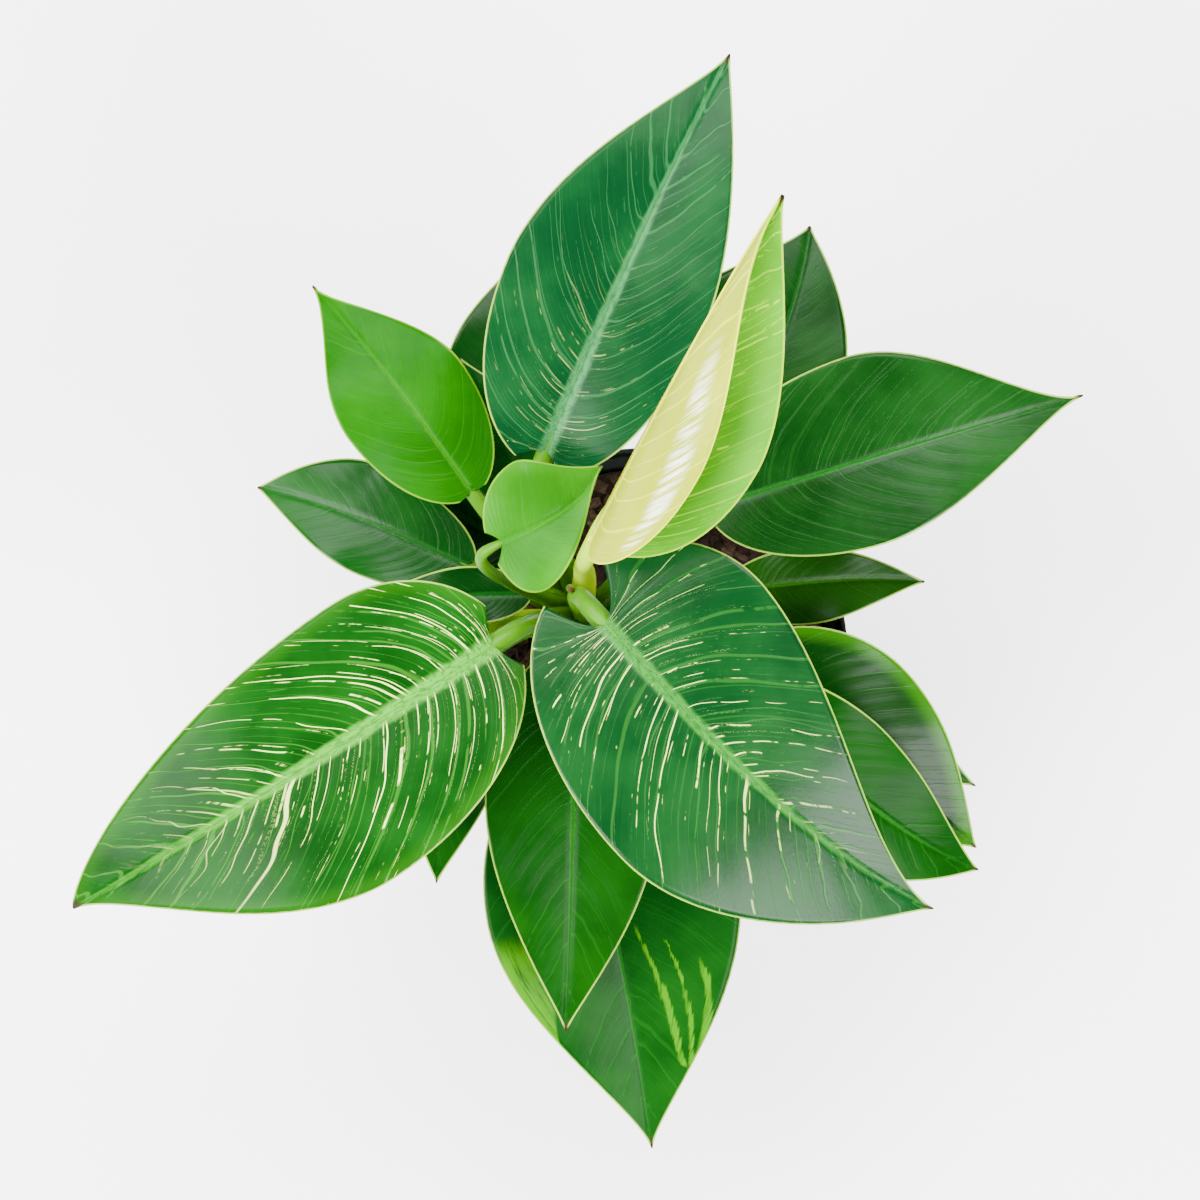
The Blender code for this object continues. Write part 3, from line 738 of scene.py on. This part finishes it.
def make_petiole_tree():
    tree, start, given = geometry_tree("petiole", [
        ("Sheath radius", "Float", 0.004),
        ("Blade radius", "Float", 0.002),
        ("End radius", "Float", 0.0007),
        ("Channel", "Float", 0.35),
        ("Steps", "Int", 60),
        ("Sides", "Int", 20),
        ("Finish", "Material", None),
    ])
    path = start.node("GeometryNodeResampleCurve", inputs={"Curve": given["Geometry"], "Count": given["Steps"]})
    along = start.node("GeometryNodeSplineParameter", output="Factor")
    radius = along.node("ShaderNodeMapRange", inputs={"Value": along, "From Max": 0.62,
                                                      "To Min": given["Sheath radius"],
                                                      "To Max": given["Blade radius"]})
    slim = along.ramp(0.80, 1.0)
    radius = radius * (1 - slim) + given["End radius"] * slim
    path = path.node("GeometryNodeStoreNamedAttribute", {"data_type": "FLOAT", "domain": "POINT"},
                     {"Geometry": path, "Name": "along", "Value": along})
    path = path.node("GeometryNodeSetCurveNormal", {"mode": "Z_UP"}, {"Curve": path})
    ring = start.node("GeometryNodeCurvePrimitiveCircle", {"mode": "RADIUS"},
                      {"Resolution": given["Sides"], "Radius": 1.0})
    place = start.node("GeometryNodeInputPosition")
    parts = place.tree.nodes.new("ShaderNodeSeparateXYZ")
    place.tree.links.new(place.socket, parts.inputs[0])
    flat_x, flat_y = Term(tree, parts.outputs[0]), Term(tree, parts.outputs[1])
    dip = flat_y.ramp(0.55, 1.0) * given["Channel"]
    ring = ring.node("GeometryNodeSetPosition", inputs={"Geometry": ring,
                                                        "Position": vector(flat_x, flat_y - dip, 0.0)})
    stalk = path.node("GeometryNodeCurveToMesh", inputs={"Curve": path, "Profile Curve": ring,
                                                         "Scale": radius, "Fill Caps": True})
    stalk = stalk.node("GeometryNodeSetShadeSmooth", inputs={"Geometry": stalk})
    stalk = stalk.node("GeometryNodeSetMaterial", inputs={"Geometry": stalk, "Material": given["Finish"]})
    finish_tree(tree, stalk)
    return tree


petiole_tree = make_petiole_tree()

# %% Petiole finish


def make_petiole_material(name, foot, middle, top):
    material, shader, start = new_surface(name, 0.30, Specular_IOR_Level=0.09)
    along = attribute(start, "along")
    place = object_place(start)
    colour = along.node("ShaderNodeValToRGB", {"stops": [(0.0, foot), (0.30, middle), (0.85, top)]}, {0: along})
    streak = noise(place, 340.0, 3.0, 0.6).ramp(0.35, 0.75)
    colour = (streak * 0.30).mix(colour, tuple(0.62 * value for value in middle))
    blush = noise(place, 120.0, 2.0).ramp(0.60, 0.80) * (1 - along.ramp(0.05, 0.35))
    colour = (blush * 0.5).mix(colour, (0.045, 0.018, 0.004))
    feed(shader, "Base Color", colour)
    bump(shader, noise(place, 700.0, 2.0) + streak * 0.6, 0.00012, 0.5)
    return material


PETIOLE_GREEN = make_petiole_material("petiole", (0.024, 0.085, 0.0003), (0.042, 0.160, 0.0003),
                                      (0.050, 0.180, 0.0008))
# The young stalks are yellow. The middle of this ramp is painted much paler than that yellow: painted light that
# lifts the stalks out of the shade under the blades.
PETIOLE_YELLOW_WITH_PAINTED_LIGHT = make_petiole_material("young petiole", (0.110, 0.240, 0.0000), (0.460, 0.700, 0.0000),
                                       (0.300, 0.500, 0.0000))
SHEATH_TIP = make_petiole_material("sheath tip", (0.050, 0.160, 0.0005), (0.040, 0.090, 0.001),
                                   (0.060, 0.010, 0.004))

# %% Petiole paths
STEM_FOOT = (-0.0135, 0.0095)
STEM_HEAD = (-0.0185, 0.0125)
SOIL_TOP = 0.0985
STEM_HEAD_HEIGHT = 0.124
CAD_BLADE = 0.0008
TOUCH_GAP = 0.0003
PETIOLE_TUCK = 0.0035


def stem_centre(height):
    share = min(1.0, max(0.0, (height - SOIL_TOP) / (STEM_HEAD_HEIGHT - SOIL_TOP)))
    foot, head = Vector((*STEM_FOOT, 0)), Vector((*STEM_HEAD, 0))
    return foot.lerp(head, share) + Vector((0, 0, height))


def petiole_path(leaf):
    """Up from inside the stem, over into the midrib, and on beneath it as its raised underside."""
    arc, place, _, normal = midrib(leaf)

    def at(table, distance):
        return Vector([np.interp(distance, arc, table[:, axis]) for axis in range(3)])

    below = CAD_BLADE / 2 + leaf.petiole + TOUCH_GAP
    near = at(place, 0) * 2 - at(place, PETIOLE_TUCK) - at(normal, 0) * below
    into = (at(place, PETIOLE_TUCK) - at(place, 0)).normalized()
    start = stem_centre(leaf.foot)
    level = Vector((near.x - start.x, near.y - start.y, 0))
    span = (near - start).length
    climb = level.normalized() * (1 - leaf.stand) + Vector((0, 0, leaf.stand))
    first = start + climb.normalized() * span * 0.45
    second = near - into * span * 0.22
    points = []
    for step in range(16):
        t = step / 16
        s = 1 - t
        points.append(start * s**3 + first * (3 * s * s * t) + second * (3 * s * t * t) + near * t**3)
    for distance, depth in ((0.0, 1.0), (0.04, 1.1), (0.09, 1.05), (0.14, 0.85), (0.20, 0.70)):
        run = distance * leaf.length
        points.append(at(place, run) - at(normal, run) * depth * leaf.petiole)
    return points


# %% Make the petioles
YELLOW_STALKS = {"youngest_folded", "lower_left"}
for leaf in LEAVES:
    curve = bpy.data.curves.new(leaf.name, "CURVE")
    curve.dimensions = "3D"
    spline = curve.splines.new("NURBS")
    route = petiole_path(leaf)
    spline.points.add(len(route) - 1)
    for knot, spot in zip(spline.points, route):
        knot.co = (*spot, 1.0)
    spline.use_endpoint_u = True
    spline.order_u = 4
    stalk = run_tree(scene_object("draft", curve), petiole_tree, sheath_radius=leaf.sheath,
                     blade_radius=leaf.petiole, end_radius=0.0006,
                     finish=PETIOLE_YELLOW_WITH_PAINTED_LIGHT if leaf.name in YELLOW_STALKS else PETIOLE_GREEN)
    add_piece(plain_mesh(stalk, f"petiole_{leaf.name}"), "petiole", "stem")

# %% [markdown]
# Each sheath once wrapped the next leaf, and ends in a small dry point that stands off the stalk.
# It is swept by the same tree, since it too is a tapering path.

# %% Sheath tips
SHEATH_TIPS = (
    # leaf, share of the way up the petiole, length, greatest radius
    ("pinstripe_left", 0.56, 0.0080, 0.0012),
    ("pinstripe_right", 0.80, 0.0060, 0.0011),
    ("right", 0.50, 0.0080, 0.0011),
    ("youngest_folded", 0.30, 0.0100, 0.0013),
)
for name, share, length, radius in SHEATH_TIPS:
    leaf = next(one for one in LEAVES if one.name == name)
    route = petiole_path(leaf)
    index = int(share * 16)
    forward = (route[index + 1] - route[index]).normalized()
    outward = Vector((0, 0, 1)) - forward * forward.z
    outward.normalize()
    base = route[index] + outward * (leaf.petiole + 0.2 * (leaf.sheath - leaf.petiole))
    curve = bpy.data.curves.new(name, "CURVE")
    curve.dimensions = "3D"
    spline = curve.splines.new("NURBS")
    ends = [base - forward * length * 0.5, base, base + forward * length * 0.35 + outward * length * 0.10,
            base + forward * length * 0.6 + outward * length * 0.32]
    spline.points.add(len(ends) - 1)
    for knot, spot in zip(spline.points, ends):
        knot.co = (*spot, 1.0)
    spline.use_endpoint_u = True
    tip = run_tree(scene_object("draft", curve), petiole_tree, sheath_radius=radius, blade_radius=radius * 0.8,
                   end_radius=0.00015, steps=24, sides=12, finish=SHEATH_TIP)
    add_piece(plain_mesh(tip, f"sheath_tip_{name}"), "petiole", "stem")

# %% The stem
STEM_BURIED = 0.030
STEM_HOLE_RADIUS = 0.0085 + TOUCH_GAP
stem_curve = bpy.data.curves.new("stem", "CURVE")
stem_curve.dimensions = "3D"
stem_line = stem_curve.splines.new("NURBS")
stem_route = [Vector((*STEM_FOOT, SOIL_TOP - STEM_BURIED)), Vector((*STEM_FOOT, SOIL_TOP - 0.005))]
stem_route += [stem_centre(SOIL_TOP + 0.004 + 0.006 * step) for step in range(4)]
stem_line.points.add(len(stem_route) - 1)
for knot, spot in zip(stem_line.points, stem_route):
    knot.co = (*spot, 1.0)
stem_line.use_endpoint_u = True
STEM_MATERIAL = make_petiole_material("stem", (0.030, 0.022, 0.006), (0.040, 0.060, 0.006), (0.045, 0.110, 0.004))
stem = run_tree(scene_object("draft", stem_curve), petiole_tree, sheath_radius=0.0085, blade_radius=0.0066,
                end_radius=0.0050, channel=0.0, sides=32, finish=STEM_MATERIAL)
add_piece(plain_mesh(stem, "stem_core"), "petiole", "stem")

# %% [markdown]
# ## The pot
# A nursery pot is one thin moulding: a tapered wall, a deeper band round the mouth, a rounded lip
# and holes in the floor. It is a turned shape, so one profile is drawn and spun round the axis.
# Arcs of a few points round its corners, which is what tells plastic from card.

# %% Pot profile
FOOT_RADIUS = 0.0440
RIM_BAND_HEIGHT = 0.014
RIM_STEP = 0.0022
POT_WALL = 0.0016
POT_FLOOR = 0.0020
DRAIN_HOLES = 6
DRAIN_RADIUS = 0.0045
DRAIN_CIRCLE = 0.0290


def wall_radius(height):
    return FOOT_RADIUS + (RIM_RADIUS - RIM_STEP - FOOT_RADIUS) * height / POT_HEIGHT


def rounded(points, radius, steps=4):
    """A list of corners with each inner corner replaced by a small arc."""
    corners = [Vector(point) for point in points]
    smooth = [corners[0]]
    for before, corner, after in zip(corners, corners[1:], corners[2:]):
        start = corner + (before - corner).normalized() * min(radius, (before - corner).length / 2)
        end = corner + (after - corner).normalized() * min(radius, (after - corner).length / 2)
        for step in range(steps + 1):
            t = step / steps
            smooth.append(start * (1 - t) ** 2 + corner * (2 * t * (1 - t)) + end * t**2)
    return smooth + [corners[-1]]


def pot_outline():
    band_foot = POT_HEIGHT - RIM_BAND_HEIGHT
    outer = [(0, 0), (FOOT_RADIUS, 0), (wall_radius(band_foot), band_foot),
             (RIM_RADIUS, band_foot + 0.0012), (RIM_RADIUS, POT_HEIGHT)]
    inner_rim = RIM_RADIUS - POT_WALL
    inner = [(inner_rim, POT_HEIGHT), (inner_rim, band_foot + 0.0014),
             (wall_radius(band_foot) - POT_WALL, band_foot), (wall_radius(POT_FLOOR) - POT_WALL, POT_FLOOR),
             (0, POT_FLOOR)]
    return rounded(outer + inner, 0.0007)


def turned(name, outline, sides):
    """The outline spun once round the Z axis, closed and facing outwards."""
    bm = bmesh.new()
    ring = [bm.verts.new((point[0], 0, point[1])) for point in outline]
    edges = [bm.edges.new(pair) for pair in zip(ring, ring[1:])]
    bmesh.ops.spin(bm, geom=ring + edges, axis=(0, 0, 1), cent=(0, 0, 0), angle=math.tau, steps=sides)
    bmesh.ops.remove_doubles(bm, verts=bm.verts, dist=1e-6)
    bmesh.ops.recalc_face_normals(bm, faces=bm.faces)
    mesh = bpy.data.meshes.new(name)
    bm.to_mesh(mesh)
    bm.free()
    return scene_object(name, mesh)


# %% Make the pot
def make_pot_material():
    material, shader, start = new_surface("dark nursery plastic", 0.38, Specular_IOR_Level=0.22)
    place = object_place(start)
    cloud = noise(place, 30.0, 4.0).ramp(0.35, 0.70)
    colour = cloud.mix((0.0028, 0.0048, 0.0034), (0.0056, 0.0090, 0.0068))
    scuff = noise(place, 210.0, 4.0, 0.7).ramp(0.62, 0.80)
    colour = (scuff * 0.35).mix(colour, (0.035, 0.055, 0.040))
    feed(shader, "Base Color", colour)
    feed(shader, "Roughness", cloud * 0.10 + scuff * 0.15 + 0.36)
    bump(shader, noise(place, 1500.0, 2.0), 0.00008, 0.35)
    return material


def drilled(obj, name, radius, depth, centres):
    """The object with a plain round hole at each centre, as a plain mesh."""
    drills = []
    for centre in centres:
        bm = bmesh.new()
        bmesh.ops.create_cone(bm, cap_ends=True, segments=40, radius1=radius, radius2=radius, depth=depth)
        bmesh.ops.translate(bm, verts=bm.verts, vec=centre)
        mesh = bpy.data.meshes.new("drill")
        bm.to_mesh(mesh)
        bm.free()
        drills.append(scene_object("drill", mesh))
        cut = obj.modifiers.new("drill", "BOOLEAN")
        cut.operation = "DIFFERENCE"
        cut.object = drills[-1]
    made = plain_mesh(obj, name)
    for drill in drills:
        bpy.data.objects.remove(drill)
    return made


pot = turned("draft", pot_outline(), 144)
pot.data.materials.append(make_pot_material())
turns = [math.tau * index / DRAIN_HOLES for index in range(DRAIN_HOLES)]
pot = drilled(pot, "pot_shell", DRAIN_RADIUS, 0.02,
              [(DRAIN_CIRCLE * math.cos(turn), DRAIN_CIRCLE * math.sin(turn), 0) for turn in turns])
pot.data.shade_smooth()
pot.data.set_sharp_from_angle(angle=math.radians(40))
add_piece(pot, "pot_plastic", "pot")

# %% [markdown]
# ## The soil
# The bed is a coarse bark mix. Seen close, it is separate chips lying every way on finer crumbs.
# First the bed itself: the packed soil's own shape with a crumbly top. Then a geometry tree
# scatters chips over it: points on the surface, one chip at each, turned and sized at random from
# a fixed seed, roughened together so that no two are alike, and made real geometry at the end.

# %% Soil bed
BED_EDGE = wall_radius(POT_HEIGHT - RIM_BAND_HEIGHT) - POT_WALL - TOUCH_GAP
SOIL_RELIEF = 0.0016


def soil_height(x, y):
    """The same crossed ripples that the packed soil has."""
    ripples = (np.sin(410 * x + 190 * y) * np.cos(230 * x - 370 * y)
               + 0.6 * np.sin(760 * x - 520 * y + 1.3) + 0.5 * np.cos(930 * y + 340 * x + 0.4))
    return SOIL_RELIEF * ripples / 2.1


def make_bark_material():
    material, shader, start = new_surface("bark mix", 0.88, Specular_IOR_Level=0.25)
    place = object_place(start)
    own = attribute(start, "chip")
    grain = noise(place, 480.0, 4.0, 0.65)
    blotch = noise(place, 110.0, 3.0)
    shade = own * 0.62 + grain.ramp(0.35, 0.70) * 0.28 + blotch * 0.12
    # The chip colours are the bark's own browns made lighter: partly real tone, partly painted light that lifts the
    # soil out of the shade under the leaves.
    colour = shade.node("ShaderNodeValToRGB", {"stops": [(0.12, (0.009, 0.005, 0.004)), (0.45, (0.034, 0.016, 0.010)),
                                                         (0.75, (0.085, 0.045, 0.028)),
                                                         (0.95, (0.170, 0.110, 0.075))]}, {0: shade})
    feed(shader, "Base Color", colour)
    bump(shader, grain + noise(place, 1400.0, 3.0) * 0.5, 0.0004, 0.8)
    return material


BARK = make_bark_material()
bed_floor = POT_FLOOR + TOUCH_GAP
bed_profile = [(0, bed_floor), (wall_radius(bed_floor) - POT_WALL - TOUCH_GAP, bed_floor),
               (BED_EDGE, POT_HEIGHT - RIM_BAND_HEIGHT - TOUCH_GAP), (BED_EDGE, SOIL_TOP)]
bed_profile += [(BED_EDGE * (1 - ring / 48), SOIL_TOP) for ring in range(1, 49)]
bed = turned("draft", [Vector(point) for point in bed_profile], 120)
places = np.array([vertex.co[:] for vertex in bed.data.vertices])
on_top = (places[:, 2] > SOIL_TOP - 1e-5) & (np.hypot(places[:, 0], places[:, 1]) < BED_EDGE - 1e-4)
places[on_top, 2] += soil_height(places[on_top, 0], places[on_top, 1])
bed.data.vertices.foreach_set("co", places.astype(np.float32).ravel())
stem_gap = np.hypot(places[:, 0] - STEM_FOOT[0], places[:, 1] - STEM_FOOT[1])
bed.data.attributes.new("chip", "FLOAT", "POINT").data.foreach_set(
    "value", np.full(len(places), 0.22, np.float32))
bed.data.attributes.new("open_top", "FLOAT", "POINT").data.foreach_set(
    "value", (on_top & (stem_gap > 0.010)).astype(np.float32))
bed.data.materials.append(BARK)

# %% Bark chip tree
CHIP_SPACING = 0.0034
CHIP_SIZE = 0.0052


def make_chip_tree():
    tree, start, given = geometry_tree("bark chips", [
        ("Spacing", "Float", CHIP_SPACING),
        ("Chip size", "Float", CHIP_SIZE),
        ("Roughness", "Float", 0.0012),
        ("Seed", "Int", 5),
        ("Finish", "Material", None),
    ])
    top = start.node("GeometryNodeInputNamedAttribute", {"data_type": "FLOAT"}, {"Name": "open_top"})
    points = start.node("GeometryNodeDistributePointsOnFaces", {"distribute_method": "POISSON"},
                        {"Mesh": given["Geometry"], "Selection": top > 0.5,
                         "Distance Min": given["Spacing"], "Density Max": 400000.0,
                         "Density Factor": 1.0, "Seed": given["Seed"]})

    def random_vector(low, high, seed):
        return start.node("FunctionNodeRandomValue", {"data_type": "FLOAT_VECTOR"},
                          {0: low, 1: high, "Seed": given["Seed"] + seed})

    chip = start.node("GeometryNodeMeshCube", inputs={"Size": (1.0, 0.62, 0.34), "Vertices X": 5,
                                                      "Vertices Y": 4, "Vertices Z": 3})
    placed = start.node("GeometryNodeInstanceOnPoints", inputs={
        "Points": points, "Instance": chip,
        "Rotation": random_vector((-0.45, -0.45, 0.0), (0.45, 0.45, math.tau), 11),
        "Scale": start.node("ShaderNodeVectorMath", {"operation": "SCALE"},
                            {0: random_vector((0.45, 0.45, 0.5), (1.25, 1.2, 1.3), 23),
                             "Scale": given["Chip size"]})})
    shade = start.node("FunctionNodeRandomValue", {"data_type": "FLOAT"},
                       {2: 0.15, 3: 1.0, "Seed": given["Seed"] + 37}, output=1)
    placed = placed.node("GeometryNodeStoreNamedAttribute", {"data_type": "FLOAT", "domain": "INSTANCE"},
                         {"Geometry": placed, "Name": "chip", "Value": shade})
    real = placed.node("GeometryNodeRealizeInstances", inputs={"Geometry": placed})
    place = start.node("GeometryNodeInputPosition")
    rough = place.node("ShaderNodeTexNoise", inputs={"Vector": place, "Scale": 420.0, "Detail": 2.0}, output=1)
    centred = rough.node("ShaderNodeVectorMath", {"operation": "SUBTRACT"}, {0: rough, 1: (0.5, 0.5, 0.5)})
    push = centred.node("ShaderNodeVectorMath", {"operation": "SCALE"},
                        {0: centred, "Scale": given["Roughness"] * 2})
    real = real.node("GeometryNodeSetPosition", inputs={"Geometry": real, "Offset": push})
    real = real.node("GeometryNodeSetMaterial", inputs={"Geometry": real, "Material": given["Finish"]})
    finish_tree(tree, real)
    return tree


chip_tree = make_chip_tree()
chips = scene_object("draft_chips", bed.data.copy())
chips = plain_mesh(run_tree(chips, chip_tree, finish=BARK), "bark_chips")
hole_depth = STEM_BURIED + TOUCH_GAP
bed = drilled(bed, "soil_bed", STEM_HOLE_RADIUS, 2 * hole_depth, [(*STEM_FOOT, SOIL_TOP)])
bed.data.shade_smooth()
bed.data.set_sharp_from_angle(angle=math.radians(50))
add_piece(bed, "bark_soil", "soil")
add_piece(chips, "bark_soil", "soil")
print("bark chips, faces:", len(chips.data.polygons))

# %% [markdown]
# ## Floor and light
# The floor is one pale plane. Light comes from large soft panels set round the plant at about
# half height, and not from above the camera: a glossy leaf that lies level then mirrors the dark
# above and keeps its deep green, and one that tips outwards mirrors a panel and shines, as the
# leaf ends do in a studio picture.

# %% Floor
floor_mesh = bpy.data.meshes.new("floor")
floor_bm = bmesh.new()
bmesh.ops.create_grid(floor_bm, x_segments=1, y_segments=1, size=6.0)
floor_bm.to_mesh(floor_mesh)
floor_bm.free()
floor_material, floor_shader, floor_start = new_surface("pale floor", 0.9, Specular_IOR_Level=0.1)
floor_shade = noise(object_place(floor_start), 3.0).mix((0.93, 0.93, 0.925), (0.95, 0.95, 0.945))
feed(floor_shader, "Base Color", floor_shade)
floor_mesh.materials.append(floor_material)
floor = scene_object("floor", floor_mesh)

# %% Lights
LIGHT_TARGET = Vector((-0.01, 0.0, 0.15))


def soft_panel(name, heading, climb, distance, width, height, power):
    """A rectangular light that faces the plant from a heading and a climb in degrees."""
    data = bpy.data.lights.new(name, "AREA")
    data.shape = "RECTANGLE"
    data.size = width
    data.size_y = height
    data.energy = power
    lamp = bpy.data.objects.new(name, data)
    around, up = math.radians(heading), math.radians(climb)
    way = Vector((math.cos(around) * math.cos(up), math.sin(around) * math.cos(up), math.sin(up)))
    lamp.location = LIGHT_TARGET + way * distance
    lamp.rotation_euler = way.to_track_quat("Z", "Y").to_euler()
    bpy.context.scene.collection.objects.link(lamp)


soft_panel("panel_lower_right", -46, 42, 1.7, 1.0, 0.85, 92.0)
soft_panel("panel_left", 208, 42, 1.7, 1.0, 0.85, 92.0)
soft_panel("panel_top", 76, 52, 1.7, 1.1, 0.9, 74.0)
soft_panel("panel_upper_left", 140, 56, 1.7, 0.9, 0.9, 52.0)

world = bpy.data.worlds.new("studio")
world.use_nodes = True
world.node_tree.nodes["Background"].inputs["Color"].default_value = (1.0, 1.0, 1.0, 1.0)
world.node_tree.nodes["Background"].inputs["Strength"].default_value = 0.38
bpy.context.scene.world = world
